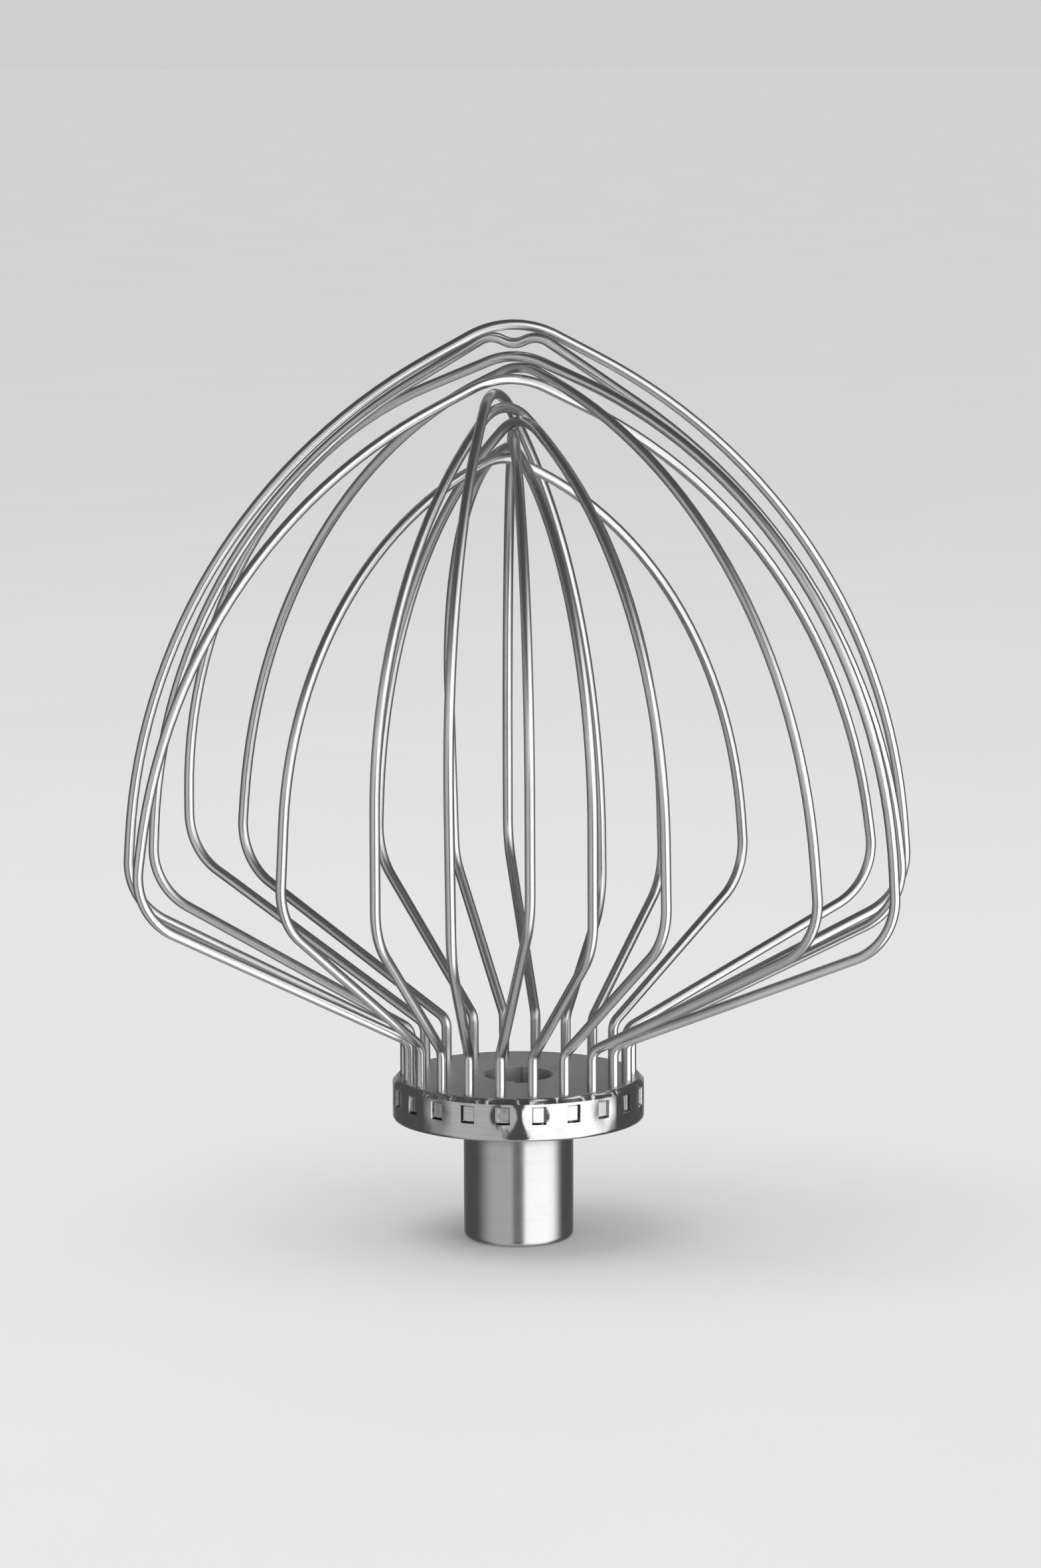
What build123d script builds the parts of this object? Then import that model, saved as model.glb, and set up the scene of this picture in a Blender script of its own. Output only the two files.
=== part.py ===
from build123d import *
import math
import os

# Stand mixer wire whisk, standing on the end of its drive shank, wire cage up.
# Millimetres, +Z up, origin on the axis at the open end of the shank.
# Azimuths are in degrees: 0 points to -Y (the front), positive turns to +X.

# ---- driving dimensions: hub ------------------------------------------------
SHANK_R = 11.0            # outside radius of the drive shank
SHANK_EDGE_R = 1.3        # rounded edge at the open end
SHANK_ROOT_R = 0.9        # fillet where the shank meets the flange
FLANGE_Z = 24.4           # underside of the flange
RIM_R = 25.2              # outside radius of the flange rim
RIM_EDGE_R = 0.8          # rounded lower edge of the rim
TOP_Z = 33.0              # top face of the flange
TOP_CHAMFER_R = 1.0       # chamfer round the top face, radial
TOP_CHAMFER_Z = 1.1       # chamfer round the top face, height
JOIN_Z = 23.3             # the shank joins the flange's short boss here

BORE_R = 6.7              # drive bore, right through the hub
BORE_CHAMFER = 0.4
SLOT_W = 3.4              # pair of slots for the drive pin
SLOT_R = 8.6              # how far the slots reach from the axis
SLOT_AZ = 7.0
TURN_DEG = 62.0           # quarter-turn track from each slot
TURN_Z0, TURN_Z1 = 14.0, 18.6
NOTCH_DEG = 26.0          # seat at the end of each track
NOTCH_Z = 12.4

# ---- driving dimensions: wires ----------------------------------------------
WIRE_D = 2.1
HOLES = 22
PITCH = 360.0 / HOLES
HOLE_AZ0 = -9.0           # azimuth of one hole
HOLE_CIRCLE_R = 22.6
HOLE_R = WIRE_D / 2 + 0.02
HOLE_FLOOR_Z = 26.5
STUB_Z = 41.0             # corner where the stub turns outward
STUB_BEND_R = 3.0
CORNER_BEND_R = 13.0      # largest bend at the widest point
APEX_BEND_R = {1: 18.0, 2: 18.0, 10: 18.0}
APEX_BEND_R_OTHER = 13.0

# ---- driving dimensions: crimp dents -----------------------------------------
DENT_AZ0 = -7.0           # the crimps sit a little to one side of the holes
DENT_Z = 29.6
DENT_W, DENT_H = 2.9, 3.6             # at the rim surface
DENT_FLOOR_W, DENT_FLOOR_H = 2.0, 2.7
DENT_DEPTH = 0.75

# Each loop: plane azimuth; then for side A and side B the outer corner (r, z)
# and the shoulder (r, z); then the apex (offset in the plane, z); then the
# sideways bow at the shoulders and at the apex.
#   plane     corner A      shoulder A      corner B      shoulder B     apex           bow
LOOPS = [
    (-84.3, (77.7, 69.6), (73.0, 145.8), (78.7, 68.5), (73.3, 146.2), (0.7, 185.2), (0.1, 0.0)),
    (-68.3, (80.0, 70.1), (70.2, 141.9), (79.4, 67.1), (69.0, 140.2), (1.2, 174.0), (-0.8, -0.6)),
    (-50.1, (59.9, 70.5), (55.6, 138.1), (60.9, 67.6), (55.2, 131.4), (1.8, 157.5), (0.3, -1.9)),
    (-35.1, (49.0, 67.2), (48.8, 136.1), (50.8, 66.5), (47.7, 131.9), (2.9, 169.8), (1.1, -1.1)),
    (-18.4, (46.5, 63.4), (48.8, 139.3), (49.2, 60.5), (47.1, 126.1), (1.8, 173.2), (2.1, -4.1)),
    (2.6, (48.9, 72.4), (47.5, 137.6), (49.0, 73.0), (47.7, 137.2), (0.0, 163.0), (0.2, -0.6)),
    (17.6, (48.5, 66.1), (48.3, 135.9), (42.0, 71.0), (49.6, 148.3), (-0.5, 159.2), (-0.3, -0.4)),
    (32.2, (53.6, 68.0), (51.7, 135.4), (54.3, 70.9), (51.0, 130.5), (0.5, 166.2), (-0.1, 0.8)),
    (48.0, (77.6, 68.3), (69.6, 148.5), (77.7, 68.6), (69.4, 146.9), (0.5, 175.3), (-0.3, 1.2)),
    (59.4, (83.5, 66.3), (79.2, 147.8), (79.8, 72.2), (79.9, 147.4), (0.0, 177.8), (1.6, 0.0)),
    (78.9, (77.6, 69.2), (70.2, 136.9), (75.3, 68.8), (72.0, 140.6), (-0.3, 180.85), (0.4, -0.34)),
]
DIP_LOOP = 11             # this loop dips under the topmost one
DIP_HALF, DIP_DEPTH = 4.8, 2.1
DIP_SHOULDER_R, DIP_R = 4.6, 4.5


def at(r, az, z):
    a = math.radians(az)
    return Vector(r * math.sin(a), -r * math.cos(a), z)


def hole_azimuth(i):
    # loop 1 starts five holes to the left of the reference hole
    return HOLE_AZ0 + PITCH * (i - 6)


# ---- hub: drive shank and wire flange -----------------------------------------
def make_hub():
    k = math.sqrt(0.5)
    s, e = SHANK_R, SHANK_EDGE_R
    f, z, g = SHANK_ROOT_R, FLANGE_Z, RIM_EDGE_R
    # half section in the XZ plane, from the bore round the outside and back
    section = [
        Line((BORE_R, 0), (s - e, 0)),
        ThreePointArc((s - e, 0), (s - e + e * k, e - e * k), (s, e)),
        Line((s, e), (s, z - f)),
        ThreePointArc((s, z - f), (s + f - f * k, z - f + f * k), (s + f, z)),
        Line((s + f, z), (RIM_R - g, z)),
        ThreePointArc((RIM_R - g, z), (RIM_R - g + g * k, z + g - g * k), (RIM_R, z + g)),
        Line((RIM_R, z + g), (RIM_R, TOP_Z - TOP_CHAMFER_Z)),
        Line((RIM_R, TOP_Z - TOP_CHAMFER_Z), (RIM_R - TOP_CHAMFER_R, TOP_Z)),
        Line((RIM_R - TOP_CHAMFER_R, TOP_Z), (BORE_R + BORE_CHAMFER, TOP_Z)),
        Line((BORE_R + BORE_CHAMFER, TOP_Z), (BORE_R, TOP_Z - BORE_CHAMFER)),
        Line((BORE_R, TOP_Z - BORE_CHAMFER), (BORE_R, 0)),
    ]
    hub = revolve(Plane.XZ * make_face(section), Axis.Z)

    # drive pin slots, their turn tracks and the seats at the ends
    slot = Pos(0, 0, TOP_Z / 2) * Box(SLOT_W, 2 * SLOT_R + 2, TOP_Z + 2)
    slot &= Pos(0, 0, TOP_Z / 2) * Cylinder(SLOT_R, TOP_Z + 4)
    hub -= Rot(0, 0, SLOT_AZ) * slot
    for side in (0, 180):
        track = Plane.XZ * Pos((5 + SLOT_R) / 2, (TURN_Z0 + TURN_Z1) / 2) * Rectangle(SLOT_R - 5, TURN_Z1 - TURN_Z0)
        hub -= Rot(0, 0, SLOT_AZ + 90 + side) * revolve(track, Axis.Z, TURN_DEG)
        seat = Plane.XZ * Pos((5 + SLOT_R) / 2, (NOTCH_Z + TURN_Z0) / 2 + 0.5) * Rectangle(SLOT_R - 5, TURN_Z0 - NOTCH_Z + 1)
        hub -= Rot(0, 0, SLOT_AZ + 88 + side + TURN_DEG - NOTCH_DEG) * revolve(seat, Axis.Z, NOTCH_DEG)

    # blind wire holes and the square crimp dents that lock the wires
    tools = []
    for i in range(HOLES):
        az = HOLE_AZ0 + PITCH * i
        p = at(HOLE_CIRCLE_R, az, 0)
        depth = TOP_Z + 1 - HOLE_FLOOR_Z
        tools.append(Pos(p.X, p.Y, HOLE_FLOOR_Z + depth / 2) * Cylinder(HOLE_R, depth))
        az = DENT_AZ0 + PITCH * i
        a = math.radians(az)
        out = Vector(math.sin(a), -math.cos(a), 0)
        across = Vector(math.cos(a), math.sin(a), 0)
        # frustum from outside the rim down to the dent floor, its sides on one slope
        over = 0.4
        gx = (DENT_W - DENT_FLOOR_W) / DENT_DEPTH
        gz = (DENT_H - DENT_FLOOR_H) / DENT_DEPTH
        mouth = Plane(at(RIM_R + over, az, DENT_Z), x_dir=across, z_dir=out) * Rectangle(
            DENT_W + gx * over, DENT_H + gz * over)
        floor = Plane(at(RIM_R - DENT_DEPTH, az, DENT_Z), x_dir=across, z_dir=out) * Rectangle(
            DENT_FLOOR_W, DENT_FLOOR_H)
        tools.append(loft([floor, mouth]))
    hub -= tools
    hub = max(hub.solids(), key=lambda q: q.volume)

    # the shank and the flange are two pieces that meet on one flat ring
    tall = 2 * TOP_Z
    above = Pos(0, 0, JOIN_Z + tall / 2) * Box(4 * RIM_R, 4 * RIM_R, tall)
    below = Pos(0, 0, JOIN_Z - tall / 2) * Box(4 * RIM_R, 4 * RIM_R, tall)
    return [max((hub - side).solids(), key=lambda q: q.volume) for side in (above, below)]


# ---- wires --------------------------------------------------------------------
def bend_path(corners, radii):
    """Straight runs joined by tangent arcs of the given radii."""
    edges, start = [], corners[0]
    for i in range(1, len(corners) - 1):
        c, r = corners[i], radii[i]
        u = (corners[i - 1] - c).normalized()
        v = (corners[i + 1] - c).normalized()
        half = math.acos(max(-1.0, min(1.0, u.dot(v)))) / 2
        t = r / math.tan(half)
        bis = (u + v).normalized()
        mid = c + bis * (r / math.sin(half) - r)
        p, q = c + u * t, c + v * t
        edges.append(Line(start, p))
        edges.append(ThreePointArc(p, mid, q))
        start = q
    edges.append(Line(start, corners[-1]))
    return edges


def loop_corners(i):
    plane, ca, sa, cb, sb, (off, apex_z), (bow, apex_bow) = LOOPS[i - 1]
    a = math.radians(plane)
    side = Vector(math.cos(a), math.sin(a), 0)
    hole = hole_azimuth(i)
    pts = [at(HOLE_CIRCLE_R, hole, HOLE_FLOOR_Z), at(HOLE_CIRCLE_R, hole, STUB_Z),
           at(ca[0], plane, ca[1]) + side * bow, at(sa[0], plane, sa[1]) + side * bow]
    if i == DIP_LOOP:
        pts += [at(off + DIP_HALF, plane, apex_z) + side * apex_bow,
                at(off, plane, apex_z - DIP_DEPTH) + side * apex_bow,
                at(off - DIP_HALF, plane, apex_z) + side * apex_bow]
    else:
        pts += [at(off, plane, apex_z) + side * apex_bow]
    pts += [at(sb[0], plane + 180, sb[1]) + side * bow, at(cb[0], plane + 180, cb[1]) + side * bow,
            at(HOLE_CIRCLE_R, hole + 180, STUB_Z), at(HOLE_CIRCLE_R, hole + 180, HOLE_FLOOR_Z)]

    def run(n):
        return (pts[n + 1] - pts[n]).length

    def tan_half(n):
        u, v = (pts[n - 1] - pts[n]).normalized(), (pts[n + 1] - pts[n]).normalized()
        return math.tan(math.acos(max(-1.0, min(1.0, u.dot(v)))) / 2)

    m = len(pts) - 1
    rad = [0.0] * (m + 1)
    rad[1] = rad[m - 1] = STUB_BEND_R
    if i == DIP_LOOP:
        rad[4] = rad[6] = DIP_SHOULDER_R
        rad[5] = DIP_R
        ta, tb = DIP_SHOULDER_R / tan_half(4), DIP_SHOULDER_R / tan_half(6)
    else:
        rad[4] = min(APEX_BEND_R.get(i, APEX_BEND_R_OTHER), 0.3 * min(run(3), run(4)) * tan_half(4))
        ta = tb = rad[4] / tan_half(4)
    # the shoulder bend fills nearly all the run between the corner and the apex
    for shoulder, low, high, corner, t in ((3, 2, 3, 2, ta), (m - 3, m - 3, m - 4, m - 2, tb)):
        rad[corner] = min(CORNER_BEND_R, 0.45 * run(low) * tan_half(corner))
        used = rad[corner] / tan_half(corner)
        rad[shoulder] = 0.94 * min(run(low) - used, run(high) - t) * tan_half(shoulder)
    return pts, rad


def make_wire(i):
    pts, rad = loop_corners(i)
    path = Wire(bend_path(pts, rad))
    start = Plane(pts[0], z_dir=(0, 0, 1))
    return sweep(start * Circle(WIRE_D / 2), path)


os.makedirs("parts", exist_ok=True)
shank, flange = make_hub()
export_step(shank, "parts/shank.step")
export_step(flange, "parts/flange.step")
for n in range(1, len(LOOPS) + 1):
    export_step(make_wire(n), "parts/wire_%02d.step" % n)
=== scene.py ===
import bpy
import math
from mathutils import Matrix, Vector


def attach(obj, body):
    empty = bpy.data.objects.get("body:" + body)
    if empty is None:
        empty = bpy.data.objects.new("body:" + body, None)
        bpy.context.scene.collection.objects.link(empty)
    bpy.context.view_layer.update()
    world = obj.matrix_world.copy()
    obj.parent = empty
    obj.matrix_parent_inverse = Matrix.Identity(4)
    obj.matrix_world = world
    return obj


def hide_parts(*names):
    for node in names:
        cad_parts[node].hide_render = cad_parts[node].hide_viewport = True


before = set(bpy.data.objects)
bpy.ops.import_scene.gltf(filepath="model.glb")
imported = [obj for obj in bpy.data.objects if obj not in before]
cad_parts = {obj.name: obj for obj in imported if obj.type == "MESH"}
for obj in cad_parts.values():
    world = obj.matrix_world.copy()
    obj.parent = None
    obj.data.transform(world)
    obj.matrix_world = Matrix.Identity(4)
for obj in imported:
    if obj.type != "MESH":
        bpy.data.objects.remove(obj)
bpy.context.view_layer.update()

MM = 0.001
scene = bpy.context.scene


# ---- small helpers for node trees ---------------------------------------------
def node(tree, kind, ins=None, **props):
    n = tree.nodes.new(kind)
    for k, v in props.items():
        setattr(n, k, v)
    for k, v in (ins or {}).items():
        if isinstance(v, bpy.types.NodeSocket):
            tree.links.new(v, n.inputs[k])
        else:
            n.inputs[k].default_value = v
    return n


def math_node(tree, op, a, b=None, c=None, clamp=False):
    ins = {0: a}
    if b is not None:
        ins[1] = b
    if c is not None:
        ins[2] = c
    return node(tree, "ShaderNodeMath", ins, operation=op, use_clamp=clamp).outputs[0]


def ramp(tree, value, lo, hi, to_lo=0.0, to_hi=1.0, smooth=True):
    n = node(tree, "ShaderNodeMapRange",
             {"Value": value, "From Min": lo, "From Max": hi, "To Min": to_lo, "To Max": to_hi})
    n.interpolation_type = "SMOOTHSTEP" if smooth else "LINEAR"
    return n.outputs["Result"]


def scaled(tree, vector, factors):
    return node(tree, "ShaderNodeVectorMath", {0: vector, 1: factors}, operation="MULTIPLY").outputs[0]


def noise(tree, vector, detail=3.0, rough=0.55):
    return node(tree, "ShaderNodeTexNoise",
                {"Vector": vector, "Scale": 1.0, "Detail": detail, "Roughness": rough},
                noise_dimensions="3D").outputs["Fac"]


def grey(tree, value):
    return node(tree, "ShaderNodeCombineColor", {0: value, 1: value, 2: value}).outputs[0]


def new_material(name):
    m = bpy.data.materials.new(name)
    m.use_nodes = True
    m.node_tree.nodes.clear()
    t = m.node_tree
    out = t.nodes.new("ShaderNodeOutputMaterial")
    bsdf = t.nodes.new("ShaderNodeBsdfPrincipled")
    t.links.new(bsdf.outputs[0], out.inputs[0])
    return m, t, bsdf


# ---- materials ------------------------------------------------------------------
def wire_steel():
    """Drawn stainless wire: fine die lines along the length, dull patches, scuffed bends."""
    m, t, b = new_material("drawn_wire_steel")
    pos = node(t, "ShaderNodeAttribute", attribute_name="wire_pos").outputs["Vector"]
    bend = node(t, "ShaderNodeAttribute", attribute_name="bend").outputs["Fac"]
    lines = noise(t, scaled(t, pos, (3000.0, 3000.0, 12.0)), 4.0, 0.6)
    broad = noise(t, scaled(t, pos, (900.0, 900.0, 9.0)), 2.0, 0.5)
    patch = noise(t, scaled(t, pos, (160.0, 160.0, 70.0)), 3.0, 0.6)
    specks = noise(t, scaled(t, pos, (2600.0, 2600.0, 1500.0)), 2.0, 0.5)

    streak = ramp(t, lines, 0.33, 0.67)
    dull = ramp(t, patch, 0.42, 0.72)
    tone = math_node(t, "MULTIPLY_ADD", streak, 0.14, 0.61)
    tone = math_node(t, "MULTIPLY_ADD", ramp(t, broad, 0.35, 0.65), 0.08, tone)
    tone = math_node(t, "MULTIPLY_ADD", dull, -0.07, tone)
    tone = math_node(t, "MULTIPLY_ADD", ramp(t, specks, 0.66, 0.74), -0.04, tone)
    t.links.new(grey(t, tone), b.inputs["Base Color"])

    rough = math_node(t, "MULTIPLY_ADD", streak, -0.08, 0.27)
    rough = math_node(t, "MULTIPLY_ADD", dull, 0.07, rough)
    rough = math_node(t, "MULTIPLY_ADD", bend, 0.05, rough)
    t.links.new(rough, b.inputs["Roughness"])

    height = math_node(t, "MULTIPLY_ADD", broad, 0.6, lines)
    bump = node(t, "ShaderNodeBump", {"Height": height, "Strength": 0.22, "Distance": 0.00003})
    t.links.new(bump.outputs[0], b.inputs["Normal"])
    b.inputs["Metallic"].default_value = 1.0
    return m


def turned_coords(t):
    """Object position split up for lathe marks: (unit x, unit y, z), radius, z."""
    p = node(t, "ShaderNodeTexCoord").outputs["Object"]
    sep = node(t, "ShaderNodeSeparateXYZ", {0: p})
    x, y, z = sep.outputs
    r = math_node(t, "SQRT", math_node(t, "ADD", math_node(t, "MULTIPLY", x, x), math_node(t, "MULTIPLY", y, y)))
    ux, uy = math_node(t, "DIVIDE", x, r), math_node(t, "DIVIDE", y, r)
    return p, ux, uy, r, z


def shank_steel():
    """Satin turned shank: fine rings round the axis, a few deeper tool marks, rubbed edge."""
    m, t, b = new_material("turned_shank_steel")
    p, ux, uy, r, z = turned_coords(t)

    def rings(round_scale, z_scale, detail):
        v = node(t, "ShaderNodeCombineXYZ", {
            0: math_node(t, "MULTIPLY", ux, round_scale), 1: math_node(t, "MULTIPLY", uy, round_scale),
            2: math_node(t, "MULTIPLY", z, z_scale)}).outputs[0]
        return noise(t, v, detail, 0.6)

    fine = rings(1.1, 5200.0, 4.0)
    marks = rings(0.7, 900.0, 2.0)
    cloud = noise(t, scaled(t, p, (240.0, 240.0, 160.0)), 3.0, 0.55)
    line = ramp(t, fine, 0.32, 0.68)
    tone = math_node(t, "MULTIPLY_ADD", line, 0.05, 0.60)
    tone = math_node(t, "MULTIPLY_ADD", ramp(t, marks, 0.55, 0.72), -0.03, tone)
    tone = math_node(t, "MULTIPLY_ADD", ramp(t, cloud, 0.40, 0.70), 0.05, tone)
    t.links.new(grey(t, tone), b.inputs["Base Color"])

    rough = math_node(t, "MULTIPLY_ADD", line, 0.05, 0.29)
    rough = math_node(t, "MULTIPLY_ADD", ramp(t, cloud, 0.45, 0.75), 0.05, rough)
    # reamed and dull inside the bore
    rough = math_node(t, "MULTIPLY_ADD", ramp(t, r, 8.7 * MM, 8.9 * MM, 1.0, 0.0), 0.25, rough)
    # duller just below the flange, where the polishing belt does not reach
    root = ramp(t, z, 19.8 * MM, 22.6 * MM)
    rough = math_node(t, "MULTIPLY_ADD", root, 0.22, rough)
    # the edge at the open end is rubbed brighter
    rough = math_node(t, "MULTIPLY_ADD", ramp(t, z, 0.0, 1.6 * MM, 1.0, 0.0), -0.05, rough)
    t.links.new(rough, b.inputs["Roughness"])

    height = math_node(t, "MULTIPLY_ADD", marks, 0.8, fine)
    bump = node(t, "ShaderNodeBump", {"Height": height, "Strength": 0.10, "Distance": 0.00001})
    t.links.new(bump.outputs[0], b.inputs["Normal"])
    tangent = node(t, "ShaderNodeTangent", direction_type="RADIAL", axis="Z").outputs[0]
    t.links.new(tangent, b.inputs["Tangent"])
    b.inputs["Anisotropic"].default_value = 0.9
    b.inputs["Anisotropic Rotation"].default_value = 0.25
    b.inputs["Metallic"].default_value = 1.0
    return m


HOLES, HOLE_AZ0, DENT_AZ0 = 22, -9.0, -7.0
PITCH = 360.0 / HOLES
RIM_R, DENT_Z, TOP_Z = 25.2 * MM, 29.6 * MM, 33.0 * MM


def flange_steel():
    """Polished rim pulled in softly round each crimp, satin top face, hairline scratches."""
    m, t, b = new_material("polished_flange_steel")
    p, ux, uy, r, z = turned_coords(t)
    # distance from the nearest crimp, along the rim and in height
    az = math_node(t, "ARCTAN2", ux, math_node(t, "MULTIPLY", uy, -1.0))
    turn = math_node(t, "DIVIDE", math_node(t, "SUBTRACT", az, math.radians(DENT_AZ0)), math.radians(PITCH))
    off = math_node(t, "SUBTRACT", math_node(t, "FRACT", math_node(t, "ADD", turn, 22.5)), 0.5)
    along = math_node(t, "MULTIPLY", off, math.radians(PITCH) * RIM_R / (2.3 * MM))
    upward = math_node(t, "DIVIDE", math_node(t, "SUBTRACT", z, DENT_Z), 2.7 * MM)
    d2 = math_node(t, "ADD", math_node(t, "MULTIPLY", along, along), math_node(t, "MULTIPLY", upward, upward))
    hollow = math_node(t, "EXPONENT", math_node(t, "MULTIPLY", d2, -1.0))

    v = node(t, "ShaderNodeCombineXYZ", {
        0: math_node(t, "MULTIPLY", ux, 1.6), 1: math_node(t, "MULTIPLY", uy, 1.6),
        2: math_node(t, "MULTIPLY", z, 3600.0)}).outputs[0]
    hair = noise(t, v, 4.0, 0.6)
    v2 = node(t, "ShaderNodeCombineXYZ", {
        0: math_node(t, "MULTIPLY", ux, 1.2), 1: math_node(t, "MULTIPLY", uy, 1.2),
        2: math_node(t, "MULTIPLY", r, 3000.0)}).outputs[0]
    faced = noise(t, v2, 3.0, 0.6)
    cloud = noise(t, scaled(t, p, (210.0, 210.0, 210.0)), 3.0, 0.6)
    ripple = noise(t, scaled(t, p, (330.0, 330.0, 260.0)), 2.0, 0.5)
    top = ramp(t, z, TOP_Z - 0.12 * MM, TOP_Z - 0.04 * MM)
    bottom = ramp(t, z, 24.45 * MM, 24.7 * MM, 1.0, 0.0)

    tone = math_node(t, "MULTIPLY_ADD", ramp(t, hair, 0.35, 0.65), 0.06, 0.60)
    # painted shade: the top face colour is darkened to stand in for the dark ceiling it reflects
    tone = math_node(t, "MULTIPLY_ADD", top, -0.08, tone)
    tone = math_node(t, "MULTIPLY_ADD", math_node(t, "MULTIPLY", ramp(t, cloud, 0.42, 0.72), math_node(t, "SUBTRACT", 1.0, top)), -0.06, tone)
    # painted shade: the walls and floors of the crimps are darkened where shade falls in the recesses
    crimp_painted_shade = math_node(t, "MULTIPLY", ramp(t, r, 24.50 * MM, 24.56 * MM), ramp(t, r, 25.08 * MM, 25.15 * MM, 1.0, 0.0))
    crimp_painted_shade = math_node(t, "MULTIPLY", crimp_painted_shade, ramp(t, math_node(t, "ABSOLUTE", math_node(t, "SUBTRACT", z, DENT_Z)), 1.9 * MM, 2.1 * MM, 1.0, 0.0))
    tone = math_node(t, "MULTIPLY_ADD", crimp_painted_shade, -0.34, tone)
    t.links.new(grey(t, tone), b.inputs["Base Color"])

    rough = math_node(t, "MULTIPLY_ADD", ramp(t, hair, 0.45, 0.75), 0.06, 0.07)
    rough = math_node(t, "MULTIPLY_ADD", top, 0.26, rough)
    rough = math_node(t, "MULTIPLY_ADD", bottom, 0.12, rough)
    # reamed and dull inside the bore and slots
    inner = math_node(t, "MULTIPLY", ramp(t, r, 8.9 * MM, 9.1 * MM, 1.0, 0.0), math_node(t, "SUBTRACT", 1.0, top))
    rough = math_node(t, "MULTIPLY_ADD", inner, 0.42, rough)
    rough = math_node(t, "MULTIPLY_ADD", ramp(t, cloud, 0.45, 0.75), 0.05, rough)
    t.links.new(rough, b.inputs["Roughness"])

    side = math_node(t, "MULTIPLY", hollow, ramp(t, r, RIM_R - 0.9 * MM, RIM_R - 0.5 * MM))
    height = math_node(t, "MULTIPLY", side, -0.00042)
    height = math_node(t, "MULTIPLY_ADD", math_node(t, "MULTIPLY", ripple, math_node(t, "SUBTRACT", 1.0, top)), 0.00006, height)
    height = math_node(t, "MULTIPLY_ADD", math_node(t, "MULTIPLY", hair, math_node(t, "SUBTRACT", 1.0, top)), 0.0000012, height)
    height = math_node(t, "MULTIPLY_ADD", math_node(t, "MULTIPLY", faced, top), 0.0000003, height)
    bump = node(t, "ShaderNodeBump", {"Height": height, "Strength": 1.0, "Distance": 1.0})
    t.links.new(bump.outputs[0], b.inputs["Normal"])
    b.inputs["Metallic"].default_value = 1.0
    return m


WIRE_MAT, SHANK_MAT, FLANGE_MAT = wire_steel(), shank_steel(), flange_steel()


# ---- wires: the same bent centrelines as the frame -------------------------------
WIRE_R = 1.03
HOLE_CIRCLE_R, HOLE_FLOOR_Z, STUB_Z = 22.6, 26.5, 41.0
STUB_BEND_R, CORNER_BEND_R = 3.0, 13.0
APEX_BEND_R, APEX_BEND_R_OTHER = {1: 18.0, 2: 18.0, 10: 18.0}, 13.0
# plane azimuth, corner A, shoulder A, corner B, shoulder B, apex, bow
LOOPS = [
    (-84.3, (77.7, 69.6), (73.0, 145.8), (78.7, 68.5), (73.3, 146.2), (0.7, 185.2), (0.1, 0.0)),
    (-68.3, (80.0, 70.1), (70.2, 141.9), (79.4, 67.1), (69.0, 140.2), (1.2, 174.0), (-0.8, -0.6)),
    (-50.1, (59.9, 70.5), (55.6, 138.1), (60.9, 67.6), (55.2, 131.4), (1.8, 157.5), (0.3, -1.9)),
    (-35.1, (49.0, 67.2), (48.8, 136.1), (50.8, 66.5), (47.7, 131.9), (2.9, 169.8), (1.1, -1.1)),
    (-18.4, (46.5, 63.4), (48.8, 139.3), (49.2, 60.5), (47.1, 126.1), (1.8, 173.2), (2.1, -4.1)),
    (2.6, (48.9, 72.4), (47.5, 137.6), (49.0, 73.0), (47.7, 137.2), (0.0, 163.0), (0.2, -0.6)),
    (17.6, (48.5, 66.1), (48.3, 135.9), (42.0, 71.0), (49.6, 148.3), (-0.5, 159.2), (-0.3, -0.4)),
    (32.2, (53.6, 68.0), (51.7, 135.4), (54.3, 70.9), (51.0, 130.5), (0.5, 166.2), (-0.1, 0.8)),
    (48.0, (77.6, 68.3), (69.6, 148.5), (77.7, 68.6), (69.4, 146.9), (0.5, 175.3), (-0.3, 1.2)),
    (59.4, (83.5, 66.3), (79.2, 147.8), (79.8, 72.2), (79.9, 147.4), (0.0, 177.8), (1.6, 0.0)),
    (78.9, (77.6, 69.2), (70.2, 136.9), (75.3, 68.8), (72.0, 140.6), (-0.3, 180.85), (0.4, -0.34)),
]
DIP_LOOP = 11
DIP_HALF, DIP_DEPTH = 4.8, 2.1
DIP_SHOULDER_R, DIP_R = 4.6, 4.5


def at(r, az, z):
    a = math.radians(az)
    return Vector((r * math.sin(a), -r * math.cos(a), z))


def half_angle(a, c, b):
    return math.acos(max(-1.0, min(1.0, (a - c).normalized().dot((b - c).normalized())))) / 2


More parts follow.
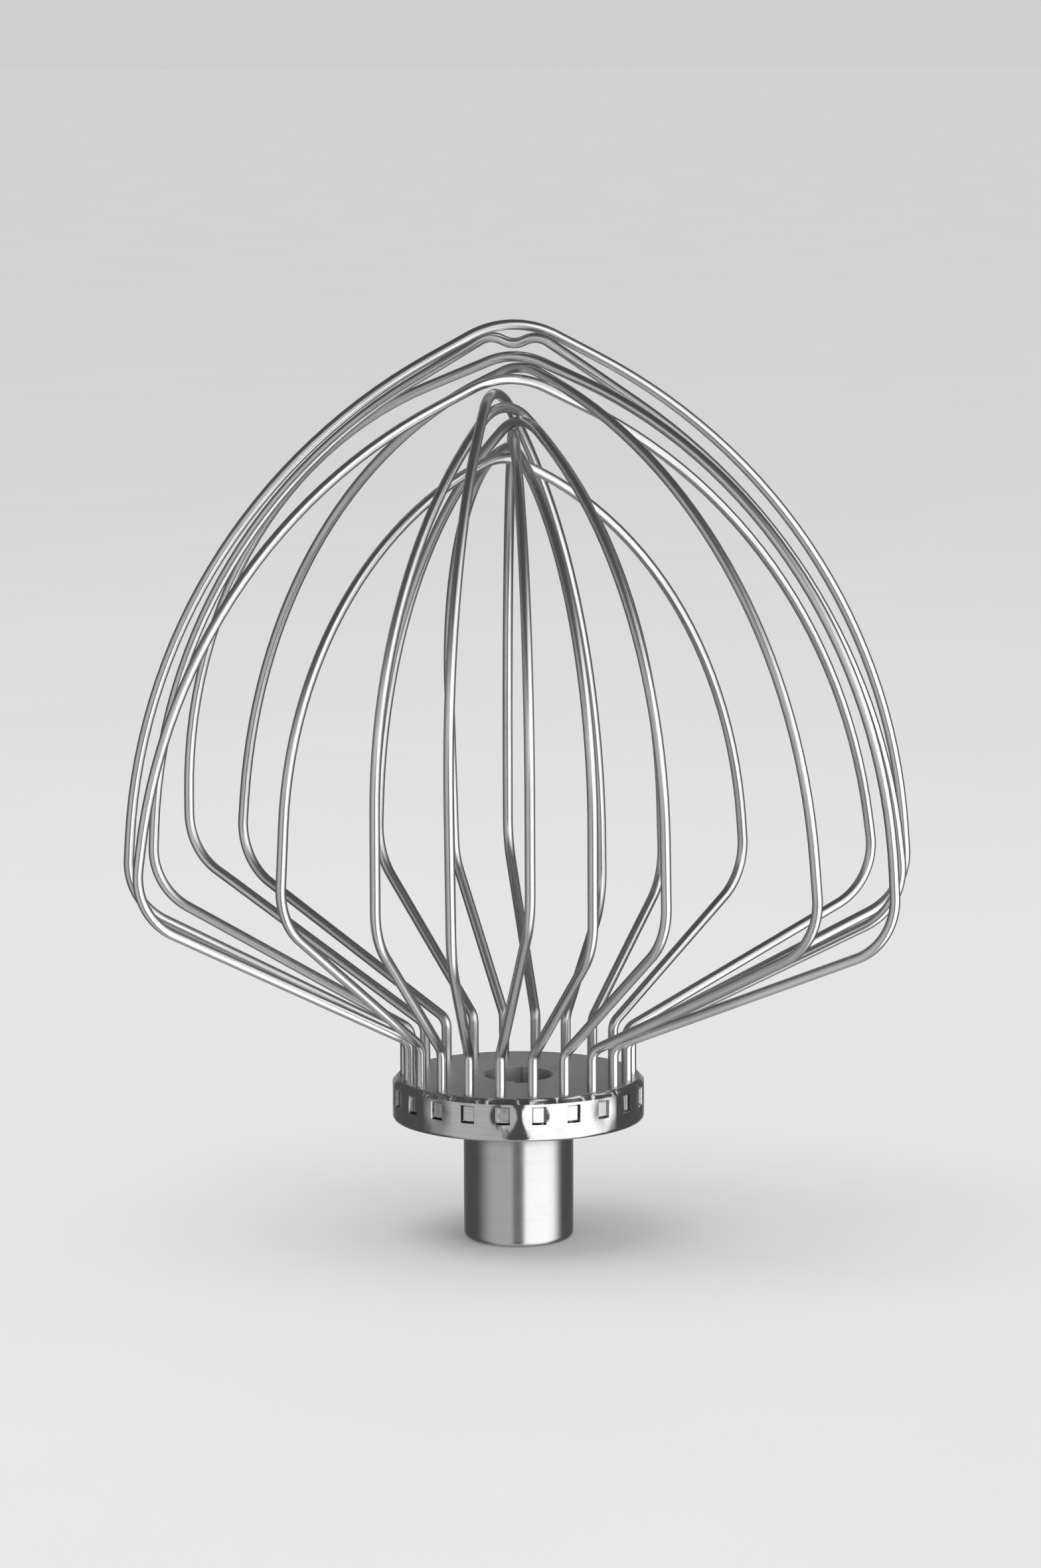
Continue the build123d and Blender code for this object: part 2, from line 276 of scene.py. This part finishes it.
def loop_corners(i):
    plane, ca, sa, cb, sb, (off, apex_z), (bow, apex_bow) = LOOPS[i - 1]
    a = math.radians(plane)
    side = Vector((math.cos(a), math.sin(a), 0))
    hole = HOLE_AZ0 + PITCH * (i - 6)
    pts = [at(HOLE_CIRCLE_R, hole, HOLE_FLOOR_Z), at(HOLE_CIRCLE_R, hole, STUB_Z),
           at(ca[0], plane, ca[1]) + side * bow, at(sa[0], plane, sa[1]) + side * bow]
    if i == DIP_LOOP:
        pts += [at(off + DIP_HALF, plane, apex_z) + side * apex_bow,
                at(off, plane, apex_z - DIP_DEPTH) + side * apex_bow,
                at(off - DIP_HALF, plane, apex_z) + side * apex_bow]
    else:
        pts += [at(off, plane, apex_z) + side * apex_bow]
    pts += [at(sb[0], plane + 180, sb[1]) + side * bow, at(cb[0], plane + 180, cb[1]) + side * bow,
            at(HOLE_CIRCLE_R, hole + 180, STUB_Z), at(HOLE_CIRCLE_R, hole + 180, HOLE_FLOOR_Z)]

    def run(n):
        return (pts[n + 1] - pts[n]).length

    def tan_half(n):
        return math.tan(half_angle(pts[n - 1], pts[n], pts[n + 1]))

    m = len(pts) - 1
    rad = [0.0] * (m + 1)
    rad[1] = rad[m - 1] = STUB_BEND_R
    if i == DIP_LOOP:
        rad[4] = rad[6] = DIP_SHOULDER_R
        rad[5] = DIP_R
        ta, tb = DIP_SHOULDER_R / tan_half(4), DIP_SHOULDER_R / tan_half(6)
    else:
        rad[4] = min(APEX_BEND_R.get(i, APEX_BEND_R_OTHER), 0.3 * min(run(3), run(4)) * tan_half(4))
        ta = tb = rad[4] / tan_half(4)
    for shoulder, low, high, corner, t in ((3, 2, 3, 2, ta), (m - 3, m - 3, m - 4, m - 2, tb)):
        rad[corner] = min(CORNER_BEND_R, 0.45 * run(low) * tan_half(corner))
        used = rad[corner] / tan_half(corner)
        rad[shoulder] = 0.94 * min(run(low) - used, run(high) - t) * tan_half(shoulder)
    return pts, rad


def centreline(i):
    """Points along the wire and how tightly each is bent, from 0 to 1."""
    pts, rad = loop_corners(i)
    line, tight = [pts[0]], [0.0]

    def straight(q):
        p = line[-1]
        n = max(1, int((q - p).length / 6.0))
        for k in range(1, n + 1):
            line.append(p.lerp(q, k / n))
            tight.append(0.0)

    for k in range(1, len(pts) - 1):
        c, r = pts[k], rad[k]
        h = half_angle(pts[k - 1], c, pts[k + 1])
        u, v = (pts[k - 1] - c).normalized(), (pts[k + 1] - c).normalized()
        p, q = c + u * (r / math.tan(h)), c + v * (r / math.tan(h))
        o = c + (u + v).normalized() * (r / math.sin(h))
        sweep = math.pi - 2 * h
        straight(p)
        n = max(5, int(math.degrees(sweep) / 2.5), int(r * sweep / 4.0))
        e, f = p - o, q - o
        for j in range(1, n + 1):
            s = j / n
            line.append(o + (e * math.sin((1 - s) * sweep) + f * math.sin(s * sweep)) / math.sin(sweep))
            tight.append(max(0.0, min(1.0, (24.0 - r) / 12.0)) * math.sin(math.pi * s) ** 0.5 if j < n else 0.0)
    straight(pts[-1])
    return line, tight


SIDES = 28


def make_wire(i):
    line, tight = centreline(i)
    count = len(line)
    tang = []
    for k in range(count):
        a, b = line[max(k - 1, 0)], line[min(k + 1, count - 1)]
        tang.append((b - a).normalized())
    nrm = Vector((line[0].x, line[0].y, 0)).normalized()
    verts, wpos, bends, dist = [], [], [], 0.0
    for k in range(count):
        if k:
            dist += (line[k] - line[k - 1]).length
            nrm = tang[k - 1].rotation_difference(tang[k]) @ nrm
            nrm = (nrm - tang[k] * nrm.dot(tang[k])).normalized()
        other = tang[k].cross(nrm)
        for j in range(SIDES):
            w = 2 * math.pi * j / SIDES
            c, s = math.cos(w), math.sin(w)
            verts.append((line[k] + (nrm * c + other * s) * WIRE_R) * MM)
            wpos.append((WIRE_R * c * MM, WIRE_R * s * MM, (dist + 900.0 * i) * MM))
            bends.append(tight[k])
    faces = []
    for k in range(count - 1):
        for j in range(SIDES):
            a, b = k * SIDES + j, k * SIDES + (j + 1) % SIDES
            faces.append((a, b, b + SIDES, a + SIDES))
    faces.append(tuple(reversed(range(SIDES))))
    faces.append(tuple(range((count - 1) * SIDES, count * SIDES)))
    name = "wire_loop_%02d" % i
    me = bpy.data.meshes.new(name)
    me.from_pydata(verts, [], faces)
    me.update()
    for p in me.polygons:
        p.use_smooth = len(p.vertices) == 4
    a = me.attributes.new("wire_pos", "FLOAT_VECTOR", "POINT")
    a.data.foreach_set("vector", [c for v in wpos for c in v])
    a = me.attributes.new("bend", "FLOAT", "POINT")
    a.data.foreach_set("value", bends)
    me.materials.append(WIRE_MAT)
    ob = bpy.data.objects.new(name, me)
    scene.collection.objects.link(ob)
    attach(ob, "root")
    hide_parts("wire_%02d" % i)
    return ob


for i in range(1, len(LOOPS) + 1):
    make_wire(i)

# ---- hub: the frame's own solids with better finishes -----------------------------
for name, mat in (("shank", SHANK_MAT), ("flange", FLANGE_MAT)):
    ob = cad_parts[name]
    if not ob.material_slots:
        ob.data.materials.append(mat)
    for s in ob.material_slots:
        s.material = mat

# ---- floor ----------------------------------------------------------------------------
FLOOR = 30.0
me = bpy.data.meshes.new("floor")
low = -0.05 * MM
me.from_pydata([(-FLOOR, -FLOOR, low), (FLOOR, -FLOOR, low), (FLOOR, FLOOR, low), (-FLOOR, FLOOR, low)], [], [(0, 1, 2, 3)])
floor = bpy.data.objects.new("floor", me)
scene.collection.objects.link(floor)
fm, ft, fb = new_material("floor_matte")
fn = noise(ft, scaled(ft, node(ft, "ShaderNodeTexCoord").outputs["Object"], (9.0, 9.0, 9.0)), 3.0, 0.5)
ft.links.new(grey(ft, ramp(ft, fn, 0.3, 0.7, 0.775, 0.785)), fb.inputs["Base Color"])
fb.inputs["Roughness"].default_value = 0.9
fb.inputs["Specular IOR Level"].default_value = 0.0
me.materials.append(fm)
floor.visible_glossy = False

# ---- studio: a soft surround with a box of light each side and a dark ceiling ---------
world = bpy.data.worlds.new("studio")
scene.world = world
world.use_nodes = True
wt = world.node_tree
wt.nodes.clear()
way = node(wt, "ShaderNodeSeparateXYZ", {0: node(wt, "ShaderNodeTexCoord").outputs["Generated"]})
wx, wy, wz = way.outputs
az = math_node(wt, "MULTIPLY", math_node(wt, "ARCTAN2", wx, math_node(wt, "MULTIPLY", wy, -1.0)), 180.0 / math.pi)
el = math_node(wt, "MULTIPLY", math_node(wt, "ARCSINE", wz), 180.0 / math.pi)
away = math_node(wt, "ABSOLUTE", az)


def window(v, lo, hi, soft_lo, soft_hi):
    return math_node(wt, "MULTIPLY", ramp(wt, v, lo - soft_lo, lo + soft_lo),
                     ramp(wt, v, hi - soft_hi, hi + soft_hi, 1.0, 0.0))


level = window(el, -62.0, 26.0, 8.0, 12.0)
level_right = window(el, -62.0, 40.0, 8.0, 20.0)
right_box = math_node(wt, "MULTIPLY", window(az, 12.0, 88.0, 2.5, 16.0), level_right)
left_box = math_node(wt, "MULTIPLY", window(az, -78.0, -13.0, 22.0, 2.5), level)
behind = math_node(wt, "MULTIPLY", ramp(wt, away, 146.0, 174.0), window(el, -50.0, 30.0, 10.0, 15.0))
below = ramp(wt, el, -72.0, -50.0, 1.0, 0.0)
ceiling = ramp(wt, el, 20.0, 75.0)
glow = math_node(wt, "MULTIPLY_ADD", right_box, 1.6, 0.10)
glow = math_node(wt, "MULTIPLY_ADD", left_box, 0.50, glow)
front = math_node(wt, "MULTIPLY", window(az, -18.0, 15.0, 5.0, 4.0), window(el, 4.0, 24.0, 5.0, 9.0))
glow = math_node(wt, "MULTIPLY_ADD", front, 0.75, glow)
glow = math_node(wt, "MULTIPLY_ADD", behind, 0.24, glow)
glow = math_node(wt, "MULTIPLY_ADD", below, 0.38, glow)
glow = math_node(wt, "MULTIPLY_ADD", ceiling, -0.02, glow)

rays = node(wt, "ShaderNodeLightPath")
seen = node(wt, "ShaderNodeBackground", {"Color": (0.624, 0.624, 0.624, 1.0), "Strength": 1.0}).outputs[0]
room = node(wt, "ShaderNodeBackground", {"Color": grey(wt, glow), "Strength": 1.0}).outputs[0]
even = node(wt, "ShaderNodeBackground", {"Color": (0.80, 0.80, 0.80, 1.0), "Strength": 1.0}).outputs[0]
lit = node(wt, "ShaderNodeMixShader", {0: rays.outputs["Is Diffuse Ray"], 1: room, 2: even}).outputs[0]
full = node(wt, "ShaderNodeMixShader", {0: rays.outputs["Is Camera Ray"], 1: lit, 2: seen}).outputs[0]
wo = wt.nodes.new("ShaderNodeOutputWorld")
wt.links.new(full, wo.inputs[0])

# overhead bank for a soft shadow on the floor; it does not show in the steel
ld = bpy.data.lights.new("overhead", "AREA")
ld.shape = "DISK"
ld.size = 0.9
ld.energy = 6.0
lamp = bpy.data.objects.new("overhead", ld)
lamp.location = (-0.35, -0.25, 1.5)
lamp.rotation_euler = (Vector((0, 0, 0.05)) - lamp.location).to_track_quat("-Z", "Y").to_euler()
lamp.visible_glossy = False
scene.collection.objects.link(lamp)

scene.view_settings.view_transform = "Standard"
scene.view_settings.look = "None"
scene.view_settings.exposure = 0.0

# ---- camera -----------------------------------------------------------------------------
PITCH_DOWN, ROLL = math.radians(8.15), math.radians(-0.2)
FOCAL_PX, FRAME_H = 7963.0, 2361.0
fw = Vector((0, math.cos(PITCH_DOWN), -math.sin(PITCH_DOWN)))
up0 = Vector((0, math.sin(PITCH_DOWN), math.cos(PITCH_DOWN)))
rt0 = Vector((1, 0, 0))
rt = rt0 * math.cos(ROLL) + up0 * math.sin(ROLL)
up = up0 * math.cos(ROLL) - rt0 * math.sin(ROLL)
eye = Vector((0, 0, 95.0)) - fw * 1050.0 - rt * -0.659 - up * 3.257
cd = bpy.data.cameras.new("camera")
cd.sensor_fit = "VERTICAL"
cd.sensor_height = 36.0
cd.lens = FOCAL_PX / FRAME_H * 36.0
cd.clip_start, cd.clip_end = 0.01, 100.0
cam = bpy.data.objects.new("camera", cd)
turn = Matrix((rt, up, -fw)).transposed().to_4x4()
cam.matrix_world = Matrix.Translation(eye * MM) @ turn
scene.collection.objects.link(cam)
scene.camera = cam
bpy.context.scene.camera = cam

bpy.context.view_layer.update()
